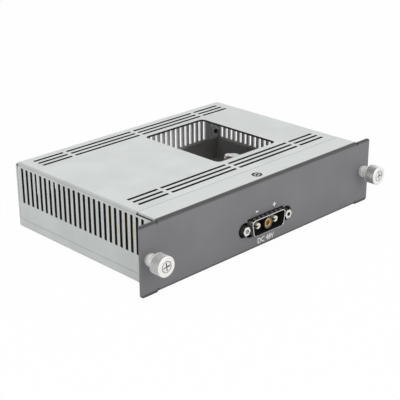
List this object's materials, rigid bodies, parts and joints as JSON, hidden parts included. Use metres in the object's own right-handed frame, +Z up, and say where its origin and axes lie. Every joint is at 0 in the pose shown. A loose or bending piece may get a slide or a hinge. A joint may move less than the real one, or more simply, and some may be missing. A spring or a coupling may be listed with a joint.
{
  "type": "dc power supply",
  "caption": "Plug-in power supply in a slotted sheet box with a grey front panel, ears with captive thumbscrews and a D-shaped power connector.",
  "frame": {"origin": "centre of the flat underside of the box, without the front panel's ears and knobs", "axes": "+X to the right seen from the front, +Y from the front panel back into the box, +Z up"},
  "size_m": [0.1802, 0.1295, 0.039],
  "materials": {
    "cover_sheet": "satin, light grey",
    "panel_paint": "fine matt grey paint on the face, bare at the turned flanges",
    "bright_nickel": "bright nickel plate",
    "black_screw": "black oxide",
    "zinc_steel": "zinc plate",
    "spring_steel": "drawn wire",
    "gold_contact": "pale gold plate",
    "brass_contact": "plain brass",
    "black_plastic": "moulded, glass filled",
    "film_black": "polycarbonate film",
    "board_green": "solder resist on glass laminate",
    "ferrite": "sintered ferrite",
    "winding_tape": "yellow polyester tape",
    "enamel_wire": "dark enamelled wire",
    "capacitor_sleeve": "shrunk sleeve",
    "film_block": "moulded box",
    "heatsink_black": "black anodised",
    "transistor_case": "moulded epoxy on a tinned plate",
    "fuse_body": "glass tube with tinned caps",
    "sealing_compound": "white silicone"
  },
  "bodies": {
    "enclosure": {"board_screws": "zinc_steel", "board_standoffs": "zinc_steel", "bulk_capacitors": "capacitor_sleeve", "chassis_tray": "cover_sheet", "choke_cores": "ferrite", "choke_windings": "enamel_wire", "circuit_board": "board_green", "connector_brackets": "zinc_steel", "connector_insulator": "black_plastic", "connector_shell": "zinc_steel", "contact_middle": "brass_contact", "contact_negative": "gold_contact", "contact_positive": "gold_contact", "control_board": "board_green", "control_header": "black_plastic", "earth_nut": "zinc_steel", "earth_stud": "zinc_steel", "film_capacitors": "film_block", "flange_screws": "black_screw", "front_panel": "panel_paint", "fuse": "fuse_body", "fuse_clips": "zinc_steel", "heatsink": "heatsink_black", "insulating_film": "film_black", "power_transistors": "transistor_case", "press_nuts": "zinc_steel", "rear_blades": "gold_contact", "rear_connector": "black_plastic", "rear_connector_screws": "zinc_steel", "rear_corner_screws": "black_screw", "rear_signal_pins": "gold_contact", "screwlock_nuts": "zinc_steel", "screwlocks": "bright_nickel", "sealing_lump": "sealing_compound", "small_capacitors": "capacitor_sleeve", "thumbscrew_ferrule_left": "bright_nickel", "thumbscrew_ferrule_right": "bright_nickel", "thumbscrew_spring_left": "spring_steel", "thumbscrew_spring_right": "spring_steel", "top_cover": "cover_sheet", "transformer_bobbin": "black_plastic", "transformer_core": "ferrite", "transformer_winding": "winding_tape", "transistor_screws": "zinc_steel"},
    "carrier_left": {"thumbscrew_ring_left": "spring_steel"},
    "knob_left": {"thumbscrew_knob_left": "bright_nickel", "thumbscrew_screw_left": "bright_nickel"},
    "carrier_right": {"thumbscrew_ring_right": "spring_steel"},
    "knob_right": {"thumbscrew_knob_right": "bright_nickel", "thumbscrew_screw_right": "bright_nickel"}
  },
  "joints": [
    {"name": "thumbscrew_press_left", "type": "slide", "parent": "enclosure", "child": "carrier_left", "axis": [0, 1, 0], "range_m": [0, 0.0036], "stiffness_N_per_m": 400, "springref_m": -0.006, "deforming": ["thumbscrew_spring_left"]},
    {"name": "thumbscrew_turn_left", "type": "hinge", "parent": "carrier_left", "child": "knob_left", "pos_m": [-0.0843, -0.0666, 0.02], "axis": [0, 1, 0], "continuous": true},
    {"name": "thumbscrew_press_right", "type": "slide", "parent": "enclosure", "child": "carrier_right", "axis": [0, 1, 0], "range_m": [0, 0.0036], "stiffness_N_per_m": 400, "springref_m": -0.006, "deforming": ["thumbscrew_spring_right"]},
    {"name": "thumbscrew_turn_right", "type": "hinge", "parent": "carrier_right", "child": "knob_right", "pos_m": [0.0843, -0.0666, 0.02], "axis": [0, 1, 0], "continuous": true}
  ]
}
